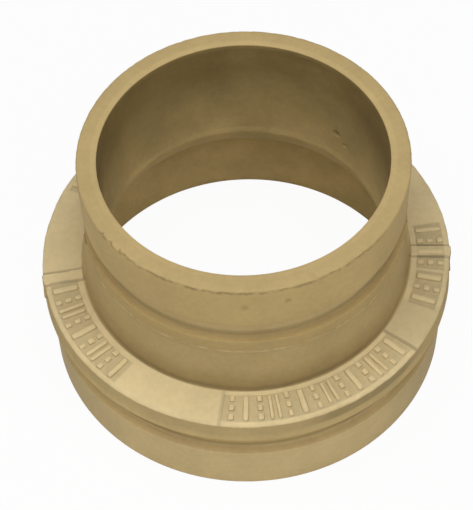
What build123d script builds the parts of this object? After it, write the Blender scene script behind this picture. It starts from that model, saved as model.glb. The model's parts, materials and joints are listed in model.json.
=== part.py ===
from build123d import *
import os
from math import cos, radians, sin, tan

# Grooved concentric reducer: one iron casting, cored inside, whose two pipe ends are
# turned and grooved afterwards for clamped pipe couplings.
# The bore's axis stands on Z. The large end rests on the plane Z = 0 and the small end
# faces up. The front is -Y. Lengths are in millimetres and angles in degrees.

# Whole casting
overall_length = 76.2

# Large end, which stands on the floor
large_pipe_diameter = 114.3
large_wall = 6.05
large_seat_length = 16.5
large_groove_width = 9.5
large_groove_depth = 2.11

# Collar behind the large groove. Its upper face is the shoulder.
collar_width = 7.0
collar_height = 1.25
collar_rim_chamfer = 0.6

# Small end, which faces up
small_pipe_diameter = 88.9
small_wall = 5.55
small_seat_length = 15.4
small_groove_width = 7.4
small_groove_depth = 1.98
small_land_length = 4.4

# Neck, left as cast between the turned small end and the shoulder
neck_skin_height = 0.15
neck_flare = 2.2
neck_corner_fillet = 1.0

# Cored flare that joins the two bores under the shoulder
shoulder_wall = 8.85
flare_angle = 50.0
flare_lip_radius = 12.0
flare_root_radius = 6.0

# Turned edges
end_chamfer = 0.6
bore_chamfer = 0.5
groove_root_chamfer = 0.4

# Ridges along the joint of the mould. Azimuth 0 is the front and 90 is the right.
joint_ridge_azimuths = (-82.0, 87.0)
joint_ridge_width = 4.2
joint_ridge_height = 0.4

# Radii and heights that follow from the sizes above
large_radius = large_pipe_diameter / 2
large_bore_radius = large_radius - large_wall
large_groove_radius = large_radius - large_groove_depth
collar_radius = large_radius + collar_height
collar_bottom = large_seat_length + large_groove_width
shoulder_top = collar_bottom + collar_width

small_radius = small_pipe_diameter / 2
small_bore_radius = small_radius - small_wall
small_groove_radius = small_radius - small_groove_depth
small_groove_top = overall_length - small_seat_length
small_groove_bottom = small_groove_top - small_groove_width
land_bottom = small_groove_bottom - small_land_length

neck_top_radius = small_radius + neck_skin_height
neck_root_radius = neck_top_radius + neck_flare
neck_length = land_bottom - shoulder_top
shoulder_width = collar_radius - neck_root_radius

flare_bottom = shoulder_top - shoulder_wall
flare_top = flare_bottom + (large_bore_radius - small_bore_radius) / tan(radians(flare_angle))


def circles(edges, radius):
    """Round edges of the given radius about the bore's axis."""
    same = 1e-4
    rounds = edges.filter_by(GeomType.CIRCLE)
    return rounds.filter_by(lambda edge: abs(edge.radius - radius) < same)


def radial_plane(azimuth):
    """Upright plane through the bore's axis, with its X side pointing along the azimuth."""
    turn = radians(azimuth)
    return Plane(
        origin=(0, 0, 0),
        x_dir=(sin(turn), -cos(turn), 0),
        z_dir=(-cos(turn), -sin(turn), 0),
    )


with BuildPart() as reducer_body:
    # Outside of the casting, from the large end up over the shoulder to the small end
    with BuildSketch(Plane.XZ):
        with BuildLine():
            Polyline(
                (0, 0),
                (large_radius, 0),
                (large_radius, collar_bottom),
                (collar_radius, collar_bottom),
                (collar_radius, shoulder_top),
                (neck_root_radius, shoulder_top),
                (neck_top_radius, land_bottom),
                (small_radius, land_bottom),
                (small_radius, overall_length),
                (0, overall_length),
                close=True,
            )
        make_face()
    revolve(axis=Axis.Z)

    # Tight corner where the neck meets the shoulder, and the bevelled rim of the collar
    shoulder_edges = reducer_body.edges().filter_by_position(Axis.Z, shoulder_top, shoulder_top)
    corner_room = min(neck_length, shoulder_width) / 3
    fillet(circles(shoulder_edges, neck_root_radius), min(neck_corner_fillet, corner_room))
    shoulder_edges = reducer_body.edges().filter_by_position(Axis.Z, shoulder_top, shoulder_top)
    chamfer(circles(shoulder_edges, collar_radius), collar_rim_chamfer)

    # Ridges left along the joint of the mould, on the skin that is not turned
    for azimuth in joint_ridge_azimuths:
        with BuildSketch(radial_plane(azimuth)):
            with BuildLine():
                Polyline(
                    (large_groove_radius, collar_bottom),
                    (collar_radius + joint_ridge_height, collar_bottom),
                    (collar_radius + joint_ridge_height, shoulder_top + joint_ridge_height),
                    (neck_root_radius + joint_ridge_height, shoulder_top + joint_ridge_height),
                    (neck_top_radius + joint_ridge_height, land_bottom),
                    (small_groove_radius, land_bottom),
                    (small_groove_radius, collar_bottom),
                    close=True,
                )
            ridge_side = make_face()
            ridge_rim = ridge_side.vertices().group_by(Axis.X)[-1].sort_by(Axis.Y)[-1]
            chamfer(ridge_rim, collar_rim_chamfer)
        extrude(amount=joint_ridge_width / 2, both=True)

    # Cored inside: the small bore, the flare under the shoulder and the large bore
    with BuildSketch(Plane.XZ):
        with BuildLine():
            core_wall = FilletPolyline(
                (small_bore_radius, overall_length),
                (small_bore_radius, flare_top),
                (large_bore_radius, flare_bottom),
                (large_bore_radius, 0),
                radius=(flare_lip_radius, flare_root_radius),
            )
            Polyline(core_wall @ 1, (0, 0), (0, overall_length), core_wall @ 0)
        make_face()
    revolve(axis=Axis.Z, mode=Mode.SUBTRACT)

    # Turned edges of the two end faces
    for end_face in (reducer_body.faces().sort_by(Axis.Z)[-1], reducer_body.faces().sort_by(Axis.Z)[0]):
        bore_edge, outer_edge = end_face.edges().sort_by(SortBy.RADIUS)
        chamfer(bore_edge, bore_chamfer)
        chamfer(outer_edge, end_chamfer)

    # Coupling groove of the small end
    with BuildSketch(Plane.XY.offset(small_groove_bottom)):
        Circle(neck_root_radius)
        Circle(small_groove_radius, mode=Mode.SUBTRACT)
    extrude(amount=small_groove_width, mode=Mode.SUBTRACT)
    chamfer(circles(reducer_body.edges(), small_groove_radius), groove_root_chamfer)

    # Coupling groove of the large end, turned up to the collar
    with BuildSketch(Plane.XY.offset(large_seat_length)):
        Circle(collar_radius)
        Circle(large_groove_radius, mode=Mode.SUBTRACT)
    extrude(amount=large_groove_width, mode=Mode.SUBTRACT)
    chamfer(circles(reducer_body.edges(), large_groove_radius), groove_root_chamfer)

reducer_body.part.label = "reducer_body"

os.makedirs("parts", exist_ok=True)
export_step(reducer_body.part, "parts/reducer_body.step")
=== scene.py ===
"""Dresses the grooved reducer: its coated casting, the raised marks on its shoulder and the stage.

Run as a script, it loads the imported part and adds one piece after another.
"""

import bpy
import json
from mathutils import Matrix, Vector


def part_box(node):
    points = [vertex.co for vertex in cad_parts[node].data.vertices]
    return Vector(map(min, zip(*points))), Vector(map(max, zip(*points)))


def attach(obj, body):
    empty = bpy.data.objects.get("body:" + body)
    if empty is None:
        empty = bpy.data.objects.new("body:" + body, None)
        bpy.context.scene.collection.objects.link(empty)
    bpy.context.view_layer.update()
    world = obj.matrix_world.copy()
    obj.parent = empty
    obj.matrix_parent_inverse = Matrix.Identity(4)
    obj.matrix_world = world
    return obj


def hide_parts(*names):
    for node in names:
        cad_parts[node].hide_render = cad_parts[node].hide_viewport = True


bl_info = {
    "name": "Grooved Reducer",
    "version": (1, 0, 0),
    "blender": (4, 5, 0),
    "location": "View3D > Sidebar > Reducer",
    "description": "Models the coated casting of a grooved pipe reducer and its stage",
    "category": "Object",
}

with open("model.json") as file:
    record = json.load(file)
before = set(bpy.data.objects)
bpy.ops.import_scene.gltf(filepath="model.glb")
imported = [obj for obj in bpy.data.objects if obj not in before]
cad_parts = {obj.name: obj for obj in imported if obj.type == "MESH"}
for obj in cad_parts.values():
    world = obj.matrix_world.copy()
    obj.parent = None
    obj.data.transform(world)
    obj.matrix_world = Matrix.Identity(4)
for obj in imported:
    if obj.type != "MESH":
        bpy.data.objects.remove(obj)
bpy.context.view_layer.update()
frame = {"nodes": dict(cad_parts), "record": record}

import json
import math
import random

import bmesh
import bpy
from bpy.props import FloatProperty, FloatVectorProperty, IntProperty, PointerProperty
from mathutils import Matrix, Vector

NODE = "reducer_body"
COAT = "tan_coat"
STAIN = "stain"
MM = 0.001
HAIR = 1e-6


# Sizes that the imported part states

def mount(name):
    """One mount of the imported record."""
    return next(entry for entry in frame["record"]["mounts"] if entry["name"] == name)


def mount_radius(name):
    """A round mount's radius in metres."""
    return mount(name)["dims"]["r_mm"] * MM


def mount_span(name):
    """Lowest and highest point of a round mount's wall, in metres."""
    entry = mount(name)
    half = entry["dims"]["length_mm"] * MM / 2
    return entry["pos_m"][2] - half, entry["pos_m"][2] + half


def shoulder_height():
    """Height of the flat shoulder, from the part's points near its front."""
    bore = mount_radius("large_bore")
    front = [
        point.co
        for point in frame["nodes"][NODE].data.vertices
        if abs(point.co.x) < bore / 5 and math.hypot(point.co.x, point.co.y) > bore
    ]
    return max(point.z for point in front)


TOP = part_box(NODE)[1].z
COLLAR_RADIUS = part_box(NODE)[1].y


class BodySizes(bpy.types.PropertyGroup):
    """Sizes of the casting that the mounts don't state."""

    turns: IntProperty(
        name="Steps round", description="Faces round the bore's axis", default=480, min=60
    )
    shoulder_z: FloatProperty(
        name="Shoulder height", description="Height of the flat shoulder over the large end",
        default=shoulder_height(), unit="LENGTH",
    )
    neck_top_radius: FloatProperty(
        name="Neck top radius", description="Radius of the cast neck where the turned land ends",
        default=44.6 * MM, unit="LENGTH",
    )
    neck_root_radius: FloatProperty(
        name="Neck root radius", description="Radius of the cast neck at the shoulder",
        default=46.8 * MM, unit="LENGTH",
    )
    land_length: FloatProperty(
        name="Land length", description="Turned land between the small groove and the cast neck",
        default=4.4 * MM, unit="LENGTH",
    )
    neck_corner_radius: FloatProperty(
        name="Neck corner radius", description="Fillet between neck and shoulder",
        default=0.6 * MM, unit="LENGTH",
    )
    rim_radius: FloatProperty(
        name="Rim radius", description="Rounding of the collar's upper rim",
        default=0.8 * MM, unit="LENGTH",
    )
    lip_radius: FloatProperty(
        name="Flare lip radius", description="Round lip between the small bore and the flare",
        default=12 * MM, unit="LENGTH",
    )
    root_radius: FloatProperty(
        name="Flare root radius", description="Round root between the flare and the large bore",
        default=6 * MM, unit="LENGTH",
    )
    flare_angle: FloatProperty(
        name="Flare angle", description="Slope of the flare from the bore's axis",
        default=math.radians(50), subtype="ANGLE",
    )
    groove_lip: FloatProperty(
        name="Groove lip", description="Broken edge at the mouth of each groove",
        default=0.15 * MM, unit="LENGTH",
    )
    groove_root: FloatProperty(
        name="Groove root", description="Rounding in the corners of each groove",
        default=0.45 * MM, unit="LENGTH",
    )
    skin_pitch: FloatProperty(
        name="Skin pitch", description="Length of the faces along the cast outside",
        default=0.85 * MM, unit="LENGTH",
    )
    turned_pitch: FloatProperty(
        name="Turned pitch", description="Length of the faces along the turned and cored walls",
        default=1.6 * MM, unit="LENGTH",
    )


class CastRelief(bpy.types.PropertyGroup):
    """What the mould and the shop left on the surface."""

    ridge_width: FloatProperty(
        name="Ridge width", description="Width of the ridge along the joint of the mould",
        default=4.2 * MM, unit="LENGTH",
    )
    ridge_height: FloatProperty(
        name="Ridge height", description="How far the ridge stands off the skin",
        default=0.35 * MM, unit="LENGTH",
    )
    pad_height: FloatProperty(
        name="Pad height", description="How far the front pad stands off the shoulder",
        default=0.35 * MM, unit="LENGTH",
    )
    relief_edge: FloatProperty(
        name="Relief edge", description="Width of the slope round a ridge or pad",
        default=0.45 * MM, unit="LENGTH",
    )
    wave_depth: FloatProperty(
        name="Wave depth", description="Depth of the long waves in the cast skin",
        default=0.30 * MM, unit="LENGTH",
    )
    wave_length: FloatProperty(
        name="Wave length", description="Length of the long waves in the cast skin",
        default=9 * MM, unit="LENGTH",
    )
    dimple_depth: FloatProperty(
        name="Dimple depth", description="Depth of the small dimples in the cast skin",
        default=0.16 * MM, unit="LENGTH",
    )
    dimple_length: FloatProperty(
        name="Dimple length", description="Size of the small dimples in the cast skin",
        default=2.4 * MM, unit="LENGTH",
    )
    shift: FloatProperty(
        name="Mould shift", description="How far the front half's collar lies behind the back half's",
        default=0.3 * MM, unit="LENGTH",
    )
    nick_depth: FloatProperty(
        name="Nick depth", description="Depth of the nicks along the small end's outer edge",
        default=0.35 * MM, unit="LENGTH",
    )
    nick_length: FloatProperty(
        name="Nick length", description="Length of the nicks along the small end's outer edge",
        default=1.8 * MM, unit="LENGTH",
    )
    pit_depth: FloatProperty(
        name="Pit depth", description="Depth of the blow holes in the turned surfaces",
        default=0.55 * MM, unit="LENGTH",
    )


class MarkSizes(bpy.types.PropertyGroup):
    """Plain raised bars and studs on the shoulder."""

    bar_length: FloatProperty(
        name="Bar length", description="Length of a bar, outwards from the axis",
        default=7.4 * MM, unit="LENGTH",
    )
    bar_width: FloatProperty(
        name="Bar width", description="Width of a bar at its foot",
        default=1.9 * MM, unit="LENGTH",
    )
    draft: FloatProperty(
        name="Draft", description="How far a mark's sides lean in from foot to top",
        default=0.3 * MM, unit="LENGTH",
    )
    edge_radius: FloatProperty(
        name="Edge radius", description="Rounding of a mark's upper edges",
        default=0.22 * MM, unit="LENGTH",
    )
    height: FloatProperty(
        name="Mark height", description="How far a mark stands off the shoulder",
        default=0.75 * MM, unit="LENGTH",
    )
    sink: FloatProperty(
        name="Sink", description="How deep a mark's foot reaches into the casting",
        default=0.6 * MM, unit="LENGTH",
    )
    ring_radius: FloatProperty(
        name="Ring radius", description="Distance of the marks' middle from the axis",
        default=52.6 * MM, unit="LENGTH",
    )
    pitch: FloatProperty(
        name="Pitch", description="Angle from one mark to the next",
        default=math.radians(4.2), subtype="ANGLE",
    )


class CoatLook(bpy.types.PropertyGroup):
    """Colours and gloss of the coat, with a painted light copy of it and a painted run from light to
    shade inside.
    """

    # Painted light: a lit copy of the coat's colour, on the shoulder and in part on other walls that
    # face the lamps
    painted_light_colour: FloatVectorProperty(
        name="Shoulder", description="Colour of the coat on the flat shoulder",
        subtype="COLOR", size=3, default=(0.8, 0.645, 0.36),
    )
    skin_colour: FloatVectorProperty(
        name="Upright skin", description="Colour of the coat on the cast neck and collar",
        subtype="COLOR", size=3, default=(0.59, 0.438, 0.2),
    )
    turned_colour: FloatVectorProperty(
        name="Turned coat", description="Colour of the coat where the iron under it is turned",
        subtype="COLOR", size=3, default=(0.615, 0.445, 0.19),
    )
    # Painted light low in the cored inside, where light from the floor comes up
    lit_bore_colour: FloatVectorProperty(
        name="Cored coat", description="Colour of the coat low in the cored inside",
        subtype="COLOR", size=3, default=(0.64, 0.49, 0.22),
    )
    # Painted shade high in the small bore
    shaded_bore_colour: FloatVectorProperty(
        name="Thin coat", description="Colour of the thin coat high in the small bore",
        subtype="COLOR", size=3, default=(0.325, 0.233, 0.088),
    )
    bare_colour: FloatVectorProperty(
        name="Worn edge", description="Colour of worn edges and of the bottom of pits",
        subtype="COLOR", size=3, default=(0.16, 0.115, 0.06),
    )
    gloss: FloatProperty(
        name="Gloss", description="Strength of the coat's reflections", default=0.12, min=0, max=1
    )
    skin_roughness: FloatProperty(
        name="Skin roughness", description="Roughness of the coat on the cast skin",
        default=0.75, min=0, max=1,
    )
    turned_roughness: FloatProperty(
        name="Turned roughness", description="Roughness of the coat on turned surfaces",
        default=0.65, min=0, max=1,
    )


class StageSizes(bpy.types.PropertyGroup):
    """Floor, light and camera."""

    floor_size: FloatProperty(
        name="Floor size", description="Side of the square floor", default=6.0, unit="LENGTH"
    )
    top_power: FloatProperty(
        name="Top power", description="Power of the lamp straight over the part, in watts",
        default=3.9, min=0,
    )
    key_power: FloatProperty(
        name="Key power", description="Power of the lamp over the front, in watts",
        default=2.1, min=0,
    )
    left_power: FloatProperty(
        name="Left power", description="Power of the lamp at the left, in watts",
        default=1.7, min=0,
    )
    right_power: FloatProperty(
        name="Right power", description="Power of the lamp at the front right, in watts",
        default=1.3, min=0,
    )
    fill_power: FloatProperty(
        name="Fill power", description="Power of the low lamp at the front, in watts",
        default=1.3, min=0,
    )
    lamp_distance: FloatProperty(
        name="Lamp distance", description="Distance of the lamps from the part",
        default=1.0, unit="LENGTH",
    )
    lamp_size: FloatProperty(
        name="Lamp size", description="Side of each square lamp", default=0.6, unit="LENGTH"
    )
    sky_strength: FloatProperty(
        name="Sky strength", description="Light that comes from all round", default=0.05, min=0
    )
    camera_distance: FloatProperty(
        name="Camera distance", description="Distance of the camera from its aim",
        default=461.7 * MM, unit="LENGTH",
    )
    camera_elevation: FloatProperty(
        name="Camera elevation", description="Height of the camera over the horizon",
        default=math.radians(54.43), subtype="ANGLE",
    )
    camera_roll: FloatProperty(
        name="Camera roll", description="Turn of the camera about its own view",
        default=math.radians(-2.01), subtype="ANGLE",
    )
    camera_aim_right: FloatProperty(
        name="Aim right", description="How far right of the part's middle the camera aims",
        default=-2.74 * MM, unit="LENGTH",
    )
    camera_aim_up: FloatProperty(
        name="Aim up", description="How far over the part's middle the camera aims",
        default=-4.51 * MM, unit="LENGTH",
    )
    lens: FloatProperty(
        name="Lens", description="Focal length in millimetres on a 36 mm sensor",
        default=115.06, min=1,
    )


# Editing by hand

def start_from_one_point(name, place):
    """A new object in edit mode whose mesh is one point at the given place."""
    bpy.ops.object.select_all(action="DESELECT")
    bpy.ops.mesh.primitive_plane_add(size=MM, location=(0, 0, 0))
    piece = bpy.context.object
    piece.name = piece.data.name = name
    bpy.ops.object.mode_set(mode="EDIT")
    bpy.context.tool_settings.mesh_select_mode = (True, False, False)
    bpy.ops.mesh.select_all(action="SELECT")
    bpy.ops.mesh.merge(type="CENTER")
    bpy.ops.transform.translate(value=place)
    return piece


def choose(piece, kind, test):
    """Selects the points, edges or faces of the edited mesh whose places pass the test."""
    modes = (kind == "verts", kind == "edges", kind == "faces")
    bpy.context.tool_settings.mesh_select_mode = modes
    bpy.ops.mesh.select_all(action="DESELECT")
    mesh = bmesh.from_edit_mesh(piece.data)
    chosen = 0
    for part in getattr(mesh, kind):
        if kind == "verts":
            passed = test(part.co)
        elif kind == "edges":
            passed = test(part.verts[0].co, part.verts[1].co)
        else:
            passed = test(part.calc_center_median())
        if passed:
            part.select_set(True)
            chosen += 1
    mesh.select_flush_mode()
    bmesh.update_edit_mesh(piece.data)
    if not chosen:
        raise RuntimeError(f"nothing of {piece.name} passed the test on its {kind}")


def pick(piece):
    """Makes a piece the active object and the only one that is selected."""
    bpy.ops.object.select_all(action="DESELECT")
    bpy.context.view_layer.objects.active = piece
    piece.select_set(True)


def apply_modifiers(piece):
    """Applies every modifier of the piece, from the first to the last."""
    pick(piece)
    for modifier in list(piece.modifiers):
        bpy.ops.object.modifier_apply(modifier=modifier.name)


def azimuth(place):
    """Angle of a place about the axis: 0 is the front and positive is to the right."""
    return math.atan2(place.x, -place.y)


def reach(place):
    """Distance of a place from the bore's axis."""
    return math.hypot(place.x, place.y)


def ramp(value, low, high):
    """0 below low, 1 above high and even in between."""
    return min(1.0, max(0.0, (value - low) / (high - low)))


# The casting

class Section:
    """Corners of the casting's half section, as radius and height, and what rounds them."""

    def __init__(self, sizes):
        self.small = mount_radius("small_end")
        self.large = mount_radius("large_end")
        self.small_bore = mount_radius("small_bore")
        self.large_bore = mount_radius("large_bore")
        self.small_groove = mount_radius("small_groove")
        self.large_groove = mount_radius("large_groove")
        self.small_groove_low, self.small_groove_high = mount_span("small_groove")
        self.large_groove_low, self.collar_low = mount_span("large_groove")
        self.land_low = self.small_groove_low - sizes.land_length
        self.shoulder = sizes.shoulder_z
        self.end_chamfer = TOP - mount_span("small_end")[1]
        self.bore_chamfer = TOP - mount_span("small_bore")[1]
        half_turn = math.tan(sizes.flare_angle / 2)
        self.lip_run = sizes.lip_radius * half_turn
        self.root_run = sizes.root_radius * half_turn
        self.flare_high = mount_span("small_bore")[0] - self.lip_run
        self.flare_low = mount_span("large_bore")[1] + self.root_run

    def corners(self, sizes):
        """Every corner in order, with the bevel's reach along its edges and its steps."""
        lip, root = sizes.groove_lip, sizes.groove_root
        return (
            (self.small_bore, TOP, self.bore_chamfer, 2),
            (self.small, TOP, self.end_chamfer, 3),
            (self.small, self.small_groove_high, lip, 2),
            (self.small_groove, self.small_groove_high, root, 3),
            (self.small_groove, self.small_groove_low, root, 3),
            (self.small, self.small_groove_low, lip, 2),
            (self.small, self.land_low, 0, 0),
            (sizes.neck_top_radius, self.land_low, 0, 0),
            (sizes.neck_root_radius, self.shoulder, sizes.neck_corner_radius, 5),
            (COLLAR_RADIUS, self.shoulder, sizes.rim_radius, 5),
            (COLLAR_RADIUS, self.collar_low, lip, 2),
            (self.large_groove, self.collar_low, root, 3),
            (self.large_groove, self.large_groove_low, root, 3),
            (self.large, self.large_groove_low, lip, 2),
            (self.large, 0.0, self.end_chamfer, 3),
            (self.large_bore, 0.0, self.bore_chamfer, 2),
            (self.large_bore, self.flare_low, self.root_run, 6),
            (self.small_bore, self.flare_high, self.lip_run, 12),
        )


def draw_section(section, sizes):
    """The half section as a closed wire in the plane of X and Z, corner after corner."""
    corners = section.corners(sizes)
    places = [Vector((radius, 0, height)) for radius, height, _, _ in corners]
    piece = start_from_one_point("cast_body", places[0])
    for before, after in zip(places, places[1:]):
        bpy.ops.mesh.extrude_vertices_move(TRANSFORM_OT_translate={"value": after - before})
    choose(piece, "verts", lambda co: min((co - places[0]).length, (co - places[-1]).length) < HAIR)
    bpy.ops.mesh.edge_face_add()
    for place, (_, _, run, steps) in zip(places, corners):
        if steps:
            choose(piece, "verts", lambda co: (co - place).length < HAIR)
            bpy.ops.mesh.bevel(affect="VERTICES", offset=run, segments=steps, profile=0.5)
    return piece


def divide_section(piece, section, sizes):
    """Divides the straight runs of the wire: finer on the cast outside than elsewhere."""
    wire = bmesh.from_edit_mesh(piece.data)
    runs = {}
    for edge in wire.edges:
        middle = (edge.verts[0].co + edge.verts[1].co) / 2
        outside = middle.x > section.small - MM
        on_skin = outside and section.collar_low < middle.z < section.land_low
        pitch = sizes.skin_pitch if on_skin else sizes.turned_pitch
        cuts = math.ceil(edge.calc_length() / pitch) - 1
        if cuts > 0:
            runs.setdefault(cuts, []).append(middle.copy())
    for cuts, middles in runs.items():
        choose(
            piece, "edges",
            lambda a, b: any(((a + b) / 2 - middle).length < HAIR for middle in middles),
        )
        bpy.ops.mesh.subdivide(number_cuts=cuts)


def spin_section(sizes):
    """Spins the wire once round the bore's axis and closes the seam."""
    bpy.ops.mesh.select_all(action="SELECT")
    bpy.ops.mesh.spin(steps=sizes.turns, angle=math.tau, center=(0, 0, 0), axis=(0, 0, 1))
    bpy.ops.mesh.select_all(action="SELECT")
    bpy.ops.mesh.remove_doubles(threshold=10 * HAIR)
    bpy.ops.mesh.normals_make_consistent(inside=False)


# Azimuths of the mould's joint, of the pad on the front of the shoulder and of the worn edge
RIDGE_AZIMUTHS = (math.radians(-82), math.radians(87))
PAD_FROM, PAD_TO = math.radians(-9), math.radians(52)
WORN_FROM, WORN_TO = math.radians(-52), math.radians(46)

# Strip of the shoulder that the pad leaves free on each side
PAD_MARGIN = 1.4 * MM


def raise_relief(piece, section, sizes, relief):
    """Raises the two ridges along the mould's joint, and the pad at the front."""
    half = relief.ridge_width / 2

    def on_skin(co):
        return reach(co) > section.small and section.collar_low < co.z < section.land_low

    def on_a_ridge(co):
        return on_skin(co) and any(
            abs(azimuth(co) - ridge) * reach(co) < half for ridge in RIDGE_AZIMUTHS
        )

    def on_the_pad(co):
        inner = sizes.neck_root_radius + PAD_MARGIN
        outer = COLLAR_RADIUS - PAD_MARGIN
        flat = abs(co.z - section.shoulder) < 10 * HAIR and inner < reach(co) < outer
        return flat and PAD_FROM < azimuth(co) < PAD_TO

    choose(piece, "faces", on_a_ridge)
    bpy.ops.mesh.inset(thickness=relief.relief_edge, depth=relief.ridge_height)
    choose(piece, "faces", on_the_pad)
    bpy.ops.mesh.inset(thickness=relief.relief_edge, depth=relief.pad_height)


# Blow holes and nicks seen on the small seat and in the small bore: azimuth in degrees, height
# in millimetres, half width and half height in millimetres, and share of the full depth
SEAT_PITS = (
    (-56.5, 76.0, 0.8, 0.8, 1.0),
    (-52.0, 75.9, 0.9, 1.0, 1.0),
    (-47.6, 76.0, 0.8, 0.9, 1.0),
    (-45.0, 75.8, 0.8, 0.9, 1.0),
    (-1.5, 69.0, 1.4, 1.5, 0.5),
    (13.0, 70.2, 1.1, 1.3, 0.7),
)
BORE_PITS = (
    (136.0, 49.2, 1.6, 1.3, 1.0),
    (131.0, 46.6, 1.2, 0.8, 0.7),
)

# Blow holes on the hidden side: their number, their azimuths in degrees, their distance from the
# ends of the wall, and the half size, flatness and depth share that each is drawn from
HIDDEN_PITS = 9
HIDDEN_AZIMUTHS = (100, 250)
HIDDEN_MARGIN = 2 * MM
HIDDEN_SIZES = (0.5 * MM, 0.9 * MM)
HIDDEN_FLATNESS = (0.7, 1.0)
HIDDEN_DEPTHS = (0.6, 1.0)
PIT_SEED = 7

# Width of the slope inside a blow hole, as a share, and of the finer faces round it
PIT_SLOPE = 0.75
PIT_BORDER = 0.9 * MM


def on_wall(radius, turn, height):
    """A place on a round wall."""
    return Vector((radius * math.sin(turn), -radius * math.cos(turn), height))


def pits(section):
    """Place on the surface, half sizes and depth share of every blow hole, seen and unseen."""
    found = []
    for radius, seen in ((section.small, SEAT_PITS), (section.small_bore, BORE_PITS)):
        for degrees, height, wide, tall, share in seen:
            place = on_wall(radius, math.radians(degrees), height * MM)
            found.append((place, wide * MM, tall * MM, share))
    draw = random.Random(PIT_SEED)
    walls = (
        (section.small, section.small_groove_high, TOP),
        (section.large, 0.0, section.large_groove_low),
    )
    for number in range(HIDDEN_PITS):
        radius, low, high = walls[number % len(walls)]
        turn = math.radians(draw.uniform(*HIDDEN_AZIMUTHS))
        place = on_wall(radius, turn, draw.uniform(low + HIDDEN_MARGIN, high - HIDDEN_MARGIN))
        size = draw.uniform(*HIDDEN_SIZES)
        tall = size * draw.uniform(*HIDDEN_FLATNESS)
        found.append((place, size, tall, draw.uniform(*HIDDEN_DEPTHS)))
    return found


def pit_share(co, place, wide, tall, share):
    """How deep a point lies in a blow hole, from 0 outside it to its share at the bottom."""
    if (co - place).length > 2 * max(wide, tall):
        return 0.0
    across = (azimuth(co) - azimuth(place)) * reach(place) / wide
    along = (co.z - place.z) / tall
    inward = (reach(co) - reach(place)) / tall
    return share * ramp(1.0 - math.hypot(across, along, inward), 0.0, PIT_SLOPE)


def refine_round_pits(piece, holes):
    """Divides the faces round each blow hole, so that its wall has points to bend."""
    choose(
        piece, "faces",
        lambda co: any((co - place).length < wide + PIT_BORDER for place, wide, _, _ in holes),
    )
    bpy.ops.mesh.subdivide(number_cuts=3)


def weigh(piece, name, share):
    """A vertex group that holds each point by its share, where that isn't nothing."""
    group = piece.vertex_groups.new(name=name)
    for point in piece.data.vertices:
        weight = share(point.co)
        if weight > 0:
            group.add([point.index], weight, "REPLACE")


def cloud(name, length, contrast=1.0, brightness=1.0):
    """A soft noise of the given length, for a displacement."""
    texture = bpy.data.textures.new(name, "CLOUDS")
    texture.noise_scale = length
    texture.noise_depth = 2
    texture.contrast = contrast
    texture.intensity = brightness
    texture.use_clamp = True
    return texture


def press_in(piece, group, depth, texture=None):
    """Presses the points of a group into the metal, by up to the given depth."""
    press = piece.modifiers.new(group, "DISPLACE")
    press.vertex_group = group
    press.strength = -depth
    press.mid_level = 0.0
    if texture:
        press.texture = texture
        press.texture_coords = "LOCAL"


# Where the roughness comes in: distances over the collar's lower edge, below the turned land,
# from both ends of the cored inside, and beyond the radius of the collar and of the small end
SKIN_OVER_EDGE = (0.2 * MM, 1.6 * MM)
SKIN_UNDER_LAND = (0.1 * MM, 1.5 * MM)
CORED_FROM_ENDS = (1 * MM, 3 * MM)
SHIFT_BEYOND_COLLAR = (-2.5 * MM, -0.5 * MM)
NICKS_BEYOND_END = (-1.3 * MM, -0.7 * MM)

# Width of the step in the collar at the mould's joint, and how far the nicks reach from the
# middle of the small end's bevel, how wide their border is, and how deep they are at the back
SHIFT_STEP = math.radians(0.8)
NICK_REACH = 0.9 * MM
NICK_BORDER = 0.5 * MM
NICKS_AT_BACK = 0.3


def roughen(piece, section, relief):
    """Gives the casting its waves, dimples, nicks and blow holes."""
    holes = pits(section)

    def skin(co):
        if reach(co) < section.small:
            return 0.0
        over_edge = ramp(co.z - section.collar_low, *SKIN_OVER_EDGE)
        return over_edge * ramp(section.land_low - co.z, *SKIN_UNDER_LAND)

    def cored(co):
        bore = section.large_bore if co.z < section.shoulder else section.small_bore
        if reach(co) >= bore + HAIR:
            return 0.0
        return ramp(co.z, *CORED_FROM_ENDS) * ramp(TOP - co.z, *CORED_FROM_ENDS)

    def front_collar(co):
        left, right = RIDGE_AZIMUTHS
        sides = ramp(azimuth(co) - left, 0.0, SHIFT_STEP) * ramp(right - azimuth(co), 0.0, SHIFT_STEP)
        return skin(co) * sides * ramp(reach(co) - COLLAR_RADIUS, *SHIFT_BEYOND_COLLAR)

    def edge(co):
        from_bevel = abs(co.z - (TOP - section.end_chamfer / 2))
        near = ramp(NICK_REACH - from_bevel, 0.0, NICK_BORDER)
        worn = 1.0 if WORN_FROM < azimuth(co) < WORN_TO else NICKS_AT_BACK
        return worn * near * ramp(reach(co) - section.small, *NICKS_BEYOND_END)

    def pitted(co):
        return max(pit_share(co, *hole) for hole in holes)

    bpy.ops.object.mode_set(mode="OBJECT")
    weigh(piece, "skin", lambda co: max(skin(co), cored(co)))
    weigh(piece, "front collar", front_collar)
    weigh(piece, "edge", edge)
    weigh(piece, "pitted", pitted)
    stain = piece.data.attributes.new(STAIN, "FLOAT", "POINT")
    stain.data.foreach_set("value", [pitted(point.co) for point in piece.data.vertices])
    press_in(piece, "skin", relief.wave_depth, cloud("waves", relief.wave_length))
    dimples = cloud("dimples", relief.dimple_length, contrast=1.6)
    press_in(piece, "skin", relief.dimple_depth, dimples)
    press_in(piece, "front collar", relief.shift)
    nicks = cloud("nicks", relief.nick_length, contrast=3.0, brightness=0.75)
    press_in(piece, "edge", relief.nick_depth, nicks)
    press_in(piece, "pitted", relief.pit_depth)
    apply_modifiers(piece)
    piece.vertex_groups.clear()


# Shader maths, written as Python

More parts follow.
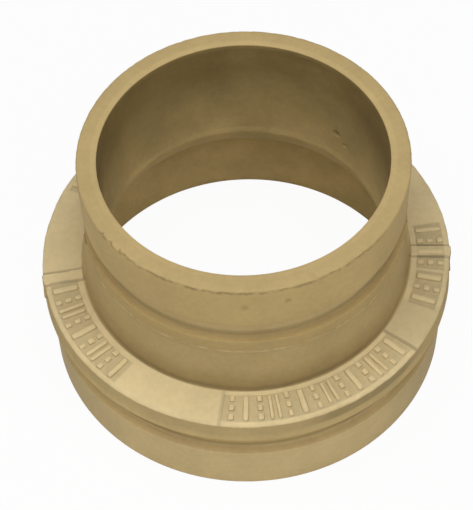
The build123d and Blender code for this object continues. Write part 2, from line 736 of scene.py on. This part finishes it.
class Number:
    """A number on its way through a material: arithmetic on it adds Math nodes."""

    def __init__(self, finish, socket):
        self.finish, self.socket = finish, socket

    def _with(self, operation, first, second=0.0, clamp=False):
        settings = {"operation": operation, "use_clamp": clamp}
        made = self.finish.node("ShaderNodeMath", settings, {0: first, 1: second})
        return Number(self.finish, made.outputs[0])

    def __add__(self, other):
        return self._with("ADD", self, other)

    def __radd__(self, other):
        return self._with("ADD", other, self)

    def __sub__(self, other):
        return self._with("SUBTRACT", self, other)

    def __rsub__(self, other):
        return self._with("SUBTRACT", other, self)

    def __mul__(self, other):
        return self._with("MULTIPLY", self, other)

    def __rmul__(self, other):
        return self._with("MULTIPLY", other, self)

    def __truediv__(self, other):
        return self._with("DIVIDE", self, other)

    def __pow__(self, other):
        return self._with("POWER", self, other)

    def sine(self):
        return self._with("SINE", self)

    def arctan2(self, other):
        return self._with("ARCTAN2", self, other)

    def size(self):
        """The number without its sign."""
        return self._with("ABSOLUTE", self)

    def clamped(self):
        """The number, kept between 0 and 1."""
        return self._with("ADD", self, 0.0, clamp=True)

    def ramp(self, low, high):
        """0 below low, 1 above high and even in between."""
        return ((self - low) / (high - low)).clamped()

    def near(self, core, edge):
        """1 below core, 0 above edge and even in between, for a distance."""
        return 1 - self.ramp(core, edge)

    def band(self, low, high, soft):
        """1 between low and high, falling to 0 over the soft width outside them."""
        return self.ramp(low - soft, low) * self.near(high, high + soft)


class Finish:
    """The nodes of a material or of the sky under construction."""

    def __init__(self, made):
        self.made = made
        made.use_nodes = True
        self.tree = made.node_tree
        self.tree.nodes.clear()

    def node(self, kind, settings=None, inputs=None):
        """Adds a node: its settings first, then the values or links of its sockets."""
        made = self.tree.nodes.new(kind)
        for name, value in (settings or {}).items():
            setattr(made, name, value)
        for key, value in (inputs or {}).items():
            if isinstance(value, Number):
                value = value.socket
            if isinstance(value, bpy.types.NodeSocket):
                self.tree.links.new(value, made.inputs[key])
            else:
                made.inputs[key].default_value = value
        return made

    def place(self):
        """The Object coordinates, and each of the three as a number."""
        here = self.node("ShaderNodeTexCoord").outputs["Object"]
        apart = self.node("ShaderNodeSeparateXYZ", inputs={0: here})
        return here, [Number(self, socket) for socket in apart.outputs]

    def noise(self, here, length, detail=2.0, roughness=0.5):
        """Soft noise from about 0.3 to 0.7, whose lumps are about the given length."""
        inputs = {"Vector": here, "Scale": 1 / length, "Detail": detail, "Roughness": roughness}
        return Number(self, self.node("ShaderNodeTexNoise", inputs=inputs).outputs[0])

    def mix(self, share, first, second):
        """A colour between two colours."""
        settings = {"data_type": "RGBA", "blend_type": "MIX", "clamp_factor": True}
        made = self.node("ShaderNodeMix", settings, {0: share, 6: first, 7: second})
        return made.outputs[2]

    def shade(self, colour, gain):
        """A colour made lighter or darker by a number."""
        made = self.node("ShaderNodeVectorMath", {"operation": "SCALE"}, {0: colour, "Scale": gain})
        return made.outputs[0]

    def blend(self, share, first, second):
        """A surface between those of two shader nodes."""
        inputs = {0: share, 1: first.outputs[0], 2: second.outputs[0]}
        return self.node("ShaderNodeMixShader", inputs=inputs)

    def close(self, shader, output="ShaderNodeOutputMaterial"):
        """Joins the last shader node to the output, and returns what was under construction."""
        self.node(output, inputs={"Surface": shader.outputs[0]})
        return self.made


def solid(colour):
    """A property's colour as the four numbers of a colour socket."""
    return (*colour, 1.0)


class PaintedLight:
    """How much of the painted light colour, a lit copy of the coat, each wall has, as a share."""

    large_seat = 0.36
    low_groove = 0.5
    small_groove = 0.25
    ends = 0.15


class PaintedShade:
    """How much painted shade darkens the coat in each place, as a share of its colour."""

    ends = 0.04
    outer_ends = 0.07
    land = 0.12
    small_groove = 0.03
    root_line = 0.22
    collar_line = 0.26
    seat_sides = 0.22
    neck = 0.1
    low_neck = 0.2
    neck_foot = 0.2
    shoulder_sides = 0.1
    beside_pad = 0.12
    outlines = 0.3
    patch = 0.3
    valleys = 0.22


class Grain:
    """Lengths of the coat's noises, how much they change it, and the heights of its bumps."""

    drift_length = 14 * MM
    drift = 0.3
    cored_drift = 0.3
    mottle_length = 1.6 * MM
    mottle = 0.22
    rough_mottle = 0.12
    # Painted highlight along the ledge under the land: the length of its breaks and its strength
    ledge_length = 3 * MM
    ledge = 0.4
    speckle_length = 2.4 * MM
    worn_front = 0.45
    worn_all_round = 0.1
    pit_stain = 0.5
    grit_length = 0.75 * MM
    skin_grit = 0.10 * MM
    turned_grit = 0.02 * MM
    lump_length = 2.6 * MM
    skin_lump = 0.12 * MM
    turned_lump = 0.04 * MM
    turning_pitch = 0.34 * MM
    turning_height = 0.0022 * MM


# Two lines of painted shade: how far the first is over the small groove's lower side, and the second
# under the collar. The large groove takes painted light again from a little lower down.
ROOT_LINE = 1.3 * MM
COLLAR_LINE = 7.7 * MM
LIT_UNDER_COLLAR = 8.2 * MM

# Angles from the front between which a wall's painted shade comes in, or for the neck goes out
SEAT_SIDES = (math.radians(35), math.radians(78))
NECK_SIDES = (math.radians(40), math.radians(80))
NECK_SIDES_SHARE = 0.9
SHOULDER_SIDES = (math.radians(53), math.radians(68))

# Distance of a ridge's lines of painted shade from its middle, how strong the pad's two lines of
# painted shade are, the end of the strip of painted shade beside the pad, and the azimuths of a patch
# of painted shade on the collar
RIDGE_OUTLINE = 2.0 * MM
PAD_OUTLINES = ((PAD_FROM, 0.6), (PAD_TO, 1.0))
STRIP_TO = math.radians(66)
PATCH_FROM, PATCH_TO = math.radians(22), math.radians(47)


class Walls:
    """A place of the material, and which wall it is on: each wall is a number from 0 to 1."""

    def __init__(self, section, sizes, radius, turn, z):
        self.radius, self.turn, self.z = radius, turn, z
        thin = (section.small_groove + section.small_bore) / 2
        thick = (section.large_groove + section.large_bore) / 2
        up_flare = z.ramp(section.flare_low - 2 * MM, section.flare_high + 5 * MM)
        middle = thick + (thin - thick) * up_flare
        self.outside = (radius - middle).ramp(-0.2 * MM, 0.2 * MM)
        between = z.band(section.collar_low, section.land_low, soft=0.3 * MM)
        self.ends = 1 - z.band(0.35 * MM, TOP - 0.35 * MM, soft=0.1 * MM)
        self.turned = (self.outside * (1 - between) + self.ends).clamped()
        self.cored = (1 - self.outside) * (1 - self.ends)
        beyond_neck = (radius - sizes.neck_root_radius).ramp(0.15 * MM, 0.45 * MM)
        flat = (z - section.shoulder).ramp(-0.9 * MM, -0.4 * MM)
        below_neck = (z - section.shoulder).near(core=1.6 * MM, edge=2.0 * MM)
        self.shoulder = beyond_neck * flat * below_neck * self.outside
        seat = z.near(core=section.large_groove_low - 0.5 * MM, edge=section.large_groove_low)
        self.large_seat = seat * self.outside * (1 - self.ends)
        land = z.band(section.land_low, section.small_groove_low, soft=0.15 * MM)
        self.land = self.outside * land
        half_deep = (section.small + section.small_groove) / 2
        cut = (radius - half_deep).near(core=-0.2 * MM, edge=0.2 * MM)
        groove = z.band(section.small_groove_low, section.small_groove_high, soft=0.15 * MM)
        self.small_groove = self.outside * groove * cut
        # Painted light: walls that face the lamps take some of the lit copy of the coat's colour
        lit_groove_top = section.collar_low - LIT_UNDER_COLLAR
        low_groove = self.outside * z.band(section.large_groove_low, lit_groove_top, soft=0.5 * MM)
        painted_light_share = self.shoulder + self.large_seat * PaintedLight.large_seat + low_groove * PaintedLight.low_groove
        painted_light_share = painted_light_share + self.small_groove * PaintedLight.small_groove + self.ends * PaintedLight.ends
        self.painted_light_share = painted_light_share.clamped()


def shade_turned(section, walls):
    """Painted shade on some of the turned walls: how much darker the coat is made there."""
    outer = (walls.radius - section.small_bore).ramp(1.4 * MM, 2.0 * MM)
    ring = walls.ends * (PaintedShade.ends + outer * PaintedShade.outer_ends)
    flat = walls.land * PaintedShade.land + walls.small_groove * PaintedShade.small_groove
    root = (walls.z - (section.small_groove_low + ROOT_LINE)).size()
    root = root.near(core=0.5 * MM, edge=1.5 * MM) * walls.small_groove * PaintedShade.root_line
    line = (walls.z - (section.collar_low - COLLAR_LINE)).size()
    line = line.near(core=0.3 * MM, edge=1.2 * MM) * walls.outside * PaintedShade.collar_line
    sides = walls.turn.size().ramp(*SEAT_SIDES) * walls.large_seat * PaintedShade.seat_sides
    return ring + flat + root + line + sides


def shade_neck(section, walls):
    """Painted shade on the front of the neck, stronger lower down on it: how much darker the coat is
    made there.
    """
    above = walls.z - section.shoulder
    neck = walls.z.band(section.shoulder, section.land_low - 0.5 * MM, soft=0.3 * MM)
    neck = neck * walls.outside * (1 - walls.shoulder)
    neck = neck * (1 - walls.turn.size().ramp(*NECK_SIDES) * NECK_SIDES_SHARE)
    low_neck = above.near(core=1 * MM, edge=9 * MM) * PaintedShade.low_neck
    foot = above.near(core=0.4 * MM, edge=1.8 * MM) * PaintedShade.neck_foot
    return neck * (PaintedShade.neck + low_neck + foot)


def shade_outlines(section, walls):
    """Painted shade along the ridges and at the two ends of the pad: how much darker the coat is made
    there.
    """
    skin = walls.z.band(section.collar_low, section.shoulder + 1 * MM, soft=0.2 * MM)
    skin = skin * walls.outside
    lines = 0
    for ridge in RIDGE_AZIMUTHS:
        beside = ((walls.turn - ridge).size() * walls.radius - RIDGE_OUTLINE).size()
        lines = lines + beside.near(core=0.2 * MM, edge=0.55 * MM) * skin
    for pad_end, share in PAD_OUTLINES:
        beside = (walls.turn - pad_end).size() * walls.radius
        lines = lines + beside.near(core=0.3 * MM, edge=0.8 * MM) * share * walls.shoulder
    return lines.clamped() * PaintedShade.outlines


def shade_shoulder(section, relief, marks, walls):
    """Painted shade at the shoulder's sides, beside the pad and between marks: how much darker the
    coat is made there.
    """
    sides = walls.turn.size().ramp(*SHOULDER_SIDES) * PaintedShade.shoulder_sides
    strip = walls.turn.band(PAD_TO, STRIP_TO, soft=math.radians(2)) * PaintedShade.beside_pad
    valley = find_valleys(section, relief, marks, walls) * PaintedShade.valleys
    return (sides + strip + valley) * walls.shoulder


def shade_patch(section, walls):
    """Painted shade in a patch high on the collar: how much darker the coat is made there."""
    low, high = section.collar_low + 2.8 * MM, section.shoulder - 1 * MM
    patch = walls.turn.band(PATCH_FROM, PATCH_TO, soft=math.radians(9))
    patch = patch * walls.z.band(low, high, soft=0.9 * MM)
    return patch * walls.outside * (1 - walls.shoulder) * PaintedShade.patch


def find_valleys(section, relief, marks, walls):
    """The shoulder's surface between the marks of a row, below their tops, where painted shade goes.
    """
    on_pad = walls.turn.band(PAD_FROM, PAD_TO, soft=math.radians(0.5))
    ground = section.shoulder - relief.wave_depth / 2 + on_pad * relief.pad_height
    low = (walls.z - ground).near(core=0.15 * MM, edge=0.45 * MM)
    rows = 0
    for first, row in MARK_ROWS:
        start = math.radians(first) - marks.pitch / 2
        length = len(row.split()) * marks.pitch
        rows = rows + walls.turn.band(start, start + length, soft=math.radians(0.7))
    half = marks.bar_length / 2
    across = walls.radius.band(marks.ring_radius - half, marks.ring_radius + half, soft=0.4 * MM)
    return rows.clamped() * low * across


def coated_iron(section, sizes, relief, marks, look):
    """The matt tan coat over iron that is cast, cored or turned, with painted light and painted
    shade.
    """
    finish = Finish(bpy.data.materials.new(COAT))
    here, (x, y, z) = finish.place()
    radius = (x * x + y * y) ** 0.5
    turn = x.arctan2(0 - y)
    walls = Walls(section, sizes, radius, turn, z)
    drift = finish.noise(here, Grain.drift_length, detail=3) - 0.5
    mottle = finish.noise(here, Grain.mottle_length, detail=4, roughness=0.6) - 0.5

    # Five grounds, one a painted light colour and two a painted run from light to shade inside,
    # drifting slowly and mottled, and darker with painted shade
    ground = finish.mix(walls.turned, solid(look.skin_colour), solid(look.turned_colour))
    ground = finish.mix(walls.painted_light_share, ground, solid(look.painted_light_colour))
    # Painted light low in the cored inside, running to painted shade high in the small bore
    depth = z.ramp(section.flare_high + 6 * MM, TOP - 10 * MM)
    inside = finish.mix(depth, solid(look.lit_bore_colour), solid(look.shaded_bore_colour))
    ground = finish.mix(walls.cored, ground, inside)

    # Painted highlight: the skin stands a little proud of the land and catches the light there, here
    # and there
    ledge = (z - section.land_low).size().near(core=0.15 * MM, edge=0.45 * MM) * walls.outside
    ledge = ledge * finish.noise(here, Grain.ledge_length, detail=2).ramp(0.42, 0.56)
    ground = finish.mix(ledge * Grain.ledge, ground, solid(look.painted_light_colour))
    gain = 1.0 + drift * (Grain.drift + walls.cored * Grain.cored_drift) + mottle * Grain.mottle
    # Painted shade on the turned walls, the neck, along the ridges and pad ends, in a patch of the
    # collar and over the shoulder
    gain = gain * (1 - shade_turned(section, walls))
    cast = shade_neck(section, walls) + shade_outlines(section, walls)
    cast = cast + shade_patch(section, walls) + shade_shoulder(section, relief, marks, walls)
    gain = gain * (1 - cast)
    ground = finish.shade(ground, gain)

    # Worn outer edge of the small end, broken up by noise, and the bottoms of the pits
    from_edge = (radius - section.small).size() + (z - (TOP - section.end_chamfer)).size()
    speckle = finish.noise(here, Grain.speckle_length, detail=3).ramp(0.38, 0.6)
    facing = turn.band(WORN_FROM, WORN_TO, soft=math.radians(12)) * Grain.worn_front
    worn = from_edge.near(core=0.15 * MM, edge=0.9 * MM) * walls.outside
    worn = worn * speckle * (facing + Grain.worn_all_round)
    pitted = finish.node("ShaderNodeAttribute", {"attribute_name": STAIN}).outputs["Fac"]
    bare = (worn + Number(finish, pitted) * Grain.pit_stain).clamped()
    colour = finish.mix(bare, ground, solid(look.bare_colour))

    rough = look.skin_roughness + (look.turned_roughness - look.skin_roughness) * walls.turned
    rough = rough + mottle * Grain.rough_mottle

    # Bump in metres: grit and lumps on the cast skin, and fine turning lines elsewhere
    grit = finish.noise(here, Grain.grit_length, detail=4, roughness=0.65) - 0.5
    lump = finish.noise(here, Grain.lump_length, detail=2) - 0.5
    along = radius * walls.ends + z * (1 - walls.ends)
    lines = (along * (math.tau / Grain.turning_pitch)).sine() * Grain.turning_height
    cast_height = grit * Grain.skin_grit + lump * Grain.skin_lump
    turned_height = lines + grit * Grain.turned_grit + lump * Grain.turned_lump
    height = cast_height * (1 - walls.turned) + turned_height * walls.turned
    bump = finish.node("ShaderNodeBump", inputs={"Strength": 1.0, "Distance": 1.0, "Height": height})

    return finish.close(finish.node("ShaderNodeBsdfPrincipled", inputs={
        "Base Color": colour, "Roughness": rough, "Metallic": 0.0, "Normal": bump.outputs[0],
        "Specular IOR Level": look.gloss,
    }))


SHARP_ANGLE = math.radians(32)


def settle(piece, material):
    """Smooth shading up to sharp edges, the coat, and its place in the part."""
    pick(piece)
    bpy.ops.object.shade_smooth_by_angle(angle=SHARP_ANGLE)
    piece.data.materials.clear()
    piece.data.materials.append(material)
    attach(piece, "root")


class REDUCER_OT_body(bpy.types.Operator):
    """Spin the casting from its half section and give it its cast and turned surfaces"""

    bl_idname = "reducer.body"
    bl_label = "Cast Body"
    bl_options = {"REGISTER", "UNDO"}

    def execute(self, context):
        scene = context.scene
        sizes, relief = scene.reducer_body, scene.reducer_relief
        section = Section(sizes)
        piece = draw_section(section, sizes)
        divide_section(piece, section, sizes)
        spin_section(sizes)
        raise_relief(piece, section, sizes, relief)
        refine_round_pits(piece, pits(section))
        roughen(piece, section, relief)
        coat = coated_iron(section, sizes, relief, scene.reducer_marks, scene.reducer_look)
        settle(piece, coat)
        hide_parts(NODE)
        return {"FINISHED"}


# The raised marks

# Rounding of a bar's upright corners, as a share of its width
BAR_CORNER = 0.4


def model_bar(marks):
    """One bar at the origin, lying along X, its foot sunk under the plane Z = 0."""
    bpy.ops.object.select_all(action="DESELECT")
    bpy.ops.mesh.primitive_cube_add(size=1, location=(0, 0, 0))
    bar = bpy.context.object
    bpy.ops.object.mode_set(mode="EDIT")
    bpy.ops.mesh.select_all(action="SELECT")
    bpy.ops.transform.translate(value=(0, 0, -0.5))
    bpy.ops.transform.resize(
        value=(marks.bar_length, marks.bar_width, marks.sink), center_override=(0, 0, 0)
    )
    choose(bar, "edges", lambda a, b: abs(a.z - b.z) > HAIR)
    bpy.ops.mesh.bevel(offset=marks.bar_width * BAR_CORNER, segments=4, profile=0.5)
    choose(bar, "faces", lambda co: abs(co.z) < HAIR)
    bpy.ops.mesh.inset(thickness=marks.draft, depth=marks.height)
    choose(bar, "edges", lambda a, b: min(a.z, b.z) > marks.height - HAIR)
    bpy.ops.mesh.bevel(offset=marks.edge_radius, segments=3, profile=0.5)
    bpy.ops.object.mode_set(mode="OBJECT")
    return bar


# What one mark of a row is made of. Each piece is a bar: how far it stands beside the mark's
# middle in shares of the pitch, how far out in shares of a bar, and its share of a bar's length
# and width.
MARK_KINDS = {
    "bar": ((0.0, 0.0, 1.0, 1.0),),
    "pair": ((-0.26, 0.0, 1.0, 0.62), (0.26, 0.0, 1.0, 0.62)),
    "studs": ((0.0, -0.38, 0.24, 0.9), (0.0, 0.0, 0.24, 0.9), (0.0, 0.38, 0.24, 0.9)),
}

# Rows of marks on the shoulder: the azimuth of the first one in degrees and the marks that
# follow at even steps
MARK_ROWS = (
    (-77.0, "bar studs pair studs bar studs pair studs bar"),
    (-6.0, "studs bar studs pair studs bar studs pair studs bar studs pair studs bar"),
    (68.5, "bar studs bar"),
    (82.5, "studs bar studs bar"),
    (-130.0, "bar studs bar studs"),
)

# How much the marks differ from each other: turn in degrees, and shares of their three sizes
MARK_TURNS = (-1.0, 1.0)
MARK_LENGTHS = (0.95, 1.04)
MARK_WIDTHS = (0.85, 1.1)
MARK_HEIGHTS = (0.75, 1.1)
MARK_SEED = 11


def stand_mark(pattern, turn, radius, height, length, width, draw):
    """A copy of the bar, with its own mesh, on the shoulder at the given place."""
    mark = pattern.copy()
    mark.data = pattern.data.copy()
    bpy.context.collection.objects.link(mark)
    mark.location = on_wall(radius, turn, height)
    mark.rotation_euler = (0, 0, turn - math.pi / 2 + math.radians(draw.uniform(*MARK_TURNS)))
    length *= draw.uniform(*MARK_LENGTHS)
    width *= draw.uniform(*MARK_WIDTHS)
    mark.scale = (length, width, draw.uniform(*MARK_HEIGHTS))
    return mark


class REDUCER_OT_marks(bpy.types.Operator):
    """Model one bar and stand rows of marks made from it on the shoulder"""

    bl_idname = "reducer.marks"
    bl_label = "Raised Marks"
    bl_options = {"REGISTER", "UNDO"}

    def execute(self, context):
        scene = context.scene
        sizes, relief, marks = scene.reducer_body, scene.reducer_relief, scene.reducer_marks
        bar = model_bar(marks)
        draw = random.Random(MARK_SEED)
        ground = sizes.shoulder_z - (relief.wave_depth + relief.dimple_depth) / 2
        stood = []
        for first, row in MARK_ROWS:
            turn = math.radians(first)
            for kind in row.split():
                on_pad = PAD_FROM < turn < PAD_TO
                height = ground + (relief.pad_height if on_pad else 0.0)
                for beside, out, length, width in MARK_KINDS[kind]:
                    radius = marks.ring_radius + out * marks.bar_length
                    side = turn + beside * marks.pitch
                    stood.append(stand_mark(bar, side, radius, height, length, width, draw))
                turn += marks.pitch
        bpy.ops.object.select_all(action="DESELECT")
        for mark in stood:
            mark.select_set(True)
        bpy.context.view_layer.objects.active = stood[0]
        bpy.ops.object.transform_apply(location=True, rotation=True, scale=True)
        bpy.ops.object.join()
        piece = context.object
        piece.name = piece.data.name = "cast_marks"
        bpy.data.objects.remove(bar, do_unlink=True)
        settle(piece, bpy.data.materials[COAT])
        return {"FINISHED"}


# The stage

WHITE = (1, 1, 1, 1)
FLOOR_COLOUR = (0.85, 0.85, 0.84, 1.0)
FLOOR_WHITENESS = 0.95


def floor_finish():
    """A pale floor that shows almost white to the camera and keeps a little of the shadow."""
    finish = Finish(bpy.data.materials.new("pale_floor"))
    rays = finish.node("ShaderNodeLightPath").outputs
    seen = Number(finish, rays["Is Camera Ray"])
    seen = seen + Number(finish, rays["Is Glossy Ray"]) + Number(finish, rays["Is Transmission Ray"])
    matt = finish.node("ShaderNodeBsdfDiffuse", inputs={"Color": FLOOR_COLOUR})
    white = finish.node("ShaderNodeEmission", inputs={"Color": WHITE, "Strength": 1.0})
    return finish.close(finish.blend(seen.clamped() * FLOOR_WHITENESS, matt, white))


def light_sky(scene, strength):
    """Even light from all round, which the camera sees as white."""
    finish = Finish(bpy.data.worlds.new("studio"))
    seen = finish.node("ShaderNodeLightPath").outputs["Is Camera Ray"]
    light = finish.node("ShaderNodeBackground", inputs={"Color": WHITE, "Strength": strength})
    white = finish.node("ShaderNodeBackground", inputs={"Color": WHITE, "Strength": 1.0})
    scene.world = finish.close(finish.blend(seen, light, white), "ShaderNodeOutputWorld")


def towards(turn, elevation):
    """Direction from the part to something at an azimuth and an elevation."""
    flat = math.cos(elevation)
    return Vector((flat * math.sin(turn), -flat * math.cos(turn), math.sin(elevation)))


# Lamps: name, azimuth and elevation in degrees, and the setting that holds the power
LAMPS = (
    ("top_lamp", 0, 88, "top_power"),
    ("key_lamp", 0, 65, "key_power"),
    ("left_lamp", -90, 45, "left_power"),
    ("right_lamp", 45, 45, "right_power"),
    ("fill_lamp", 0, 15, "fill_power"),
)


def hang_lamp(name, turn, elevation, power, middle, stage):
    """A square lamp that shines at the part's middle, from an azimuth and elevation in degrees."""
    aim = towards(math.radians(turn), math.radians(elevation))
    bpy.ops.object.light_add(type="AREA", location=middle + aim * stage.lamp_distance)
    lamp = bpy.context.object
    lamp.name = name
    lamp.data.size = stage.lamp_size
    lamp.data.energy = power
    lamp.rotation_euler = (-aim).to_track_quat("-Z", "Y").to_euler()


class REDUCER_OT_stage(bpy.types.Operator):
    """Lay the floor, hang the lights and set the camera"""

    bl_idname = "reducer.stage"
    bl_label = "Stage"
    bl_options = {"REGISTER", "UNDO"}

    def execute(self, context):
        scene = context.scene
        stage = scene.reducer_stage
        bpy.ops.object.select_all(action="DESELECT")
        bpy.ops.mesh.primitive_plane_add(size=stage.floor_size, location=(0, 0, 0))
        floor = context.object
        floor.name = "floor"
        floor.data.materials.append(floor_finish())

        light_sky(scene, stage.sky_strength)
        middle = Vector((0, 0, TOP / 2))
        for name, turn, elevation, power in LAMPS:
            hang_lamp(name, turn, elevation, getattr(stage, power), middle, stage)

        back = towards(0.0, stage.camera_elevation)
        right = Vector((1, 0, 0))
        up = back.cross(right)
        roll = Matrix.Rotation(stage.camera_roll, 3, back)
        aim_point = middle + stage.camera_aim_right * right + stage.camera_aim_up * up
        bpy.ops.object.camera_add(location=aim_point + stage.camera_distance * back)
        camera = context.object
        camera.name = "camera"
        axes = Matrix((roll @ right, roll @ up, back)).transposed()
        camera.rotation_euler = axes.to_euler()
        camera.data.lens = stage.lens
        camera.data.clip_start = 10 * MM
        scene.camera = camera
        scene.view_settings.view_transform = "Standard"
        return {"FINISHED"}


class REDUCER_PT_panel(bpy.types.Panel):
    """Lists the steps that dress the reducer"""

    bl_idname = "REDUCER_PT_panel"
    bl_label = "Grooved Reducer"
    bl_space_type = "VIEW_3D"
    bl_region_type = "UI"
    bl_category = "Reducer"

    def draw(self, context):
        column = self.layout.column()
        for operator in OPERATORS:
            column.operator(operator.bl_idname)
        for group in GROUPS:
            settings = getattr(context.scene, group)
            box = self.layout.box()
            for name in settings.__annotations__:
                box.prop(settings, name)


OPERATORS = (REDUCER_OT_body, REDUCER_OT_marks, REDUCER_OT_stage)
GROUPS = {
    "reducer_body": BodySizes,
    "reducer_relief": CastRelief,
    "reducer_marks": MarkSizes,
    "reducer_look": CoatLook,
    "reducer_stage": StageSizes,
}


def register():
    for group in GROUPS.values():
        bpy.utils.register_class(group)
    for name, group in GROUPS.items():
        setattr(bpy.types.Scene, name, PointerProperty(type=group))
    for operator in OPERATORS:
        bpy.utils.register_class(operator)
    bpy.utils.register_class(REDUCER_PT_panel)


def unregister():
    bpy.utils.unregister_class(REDUCER_PT_panel)
    for operator in reversed(OPERATORS):
        bpy.utils.unregister_class(operator)
    for name in GROUPS:
        delattr(bpy.types.Scene, name)
    for group in reversed(list(GROUPS.values())):
        bpy.utils.unregister_class(group)


def main():
    """Makes every piece in order."""
    register()
    bpy.ops.reducer.body()
    bpy.ops.reducer.marks()
    bpy.ops.reducer.stage()


if __name__ == "__main__":
    main()
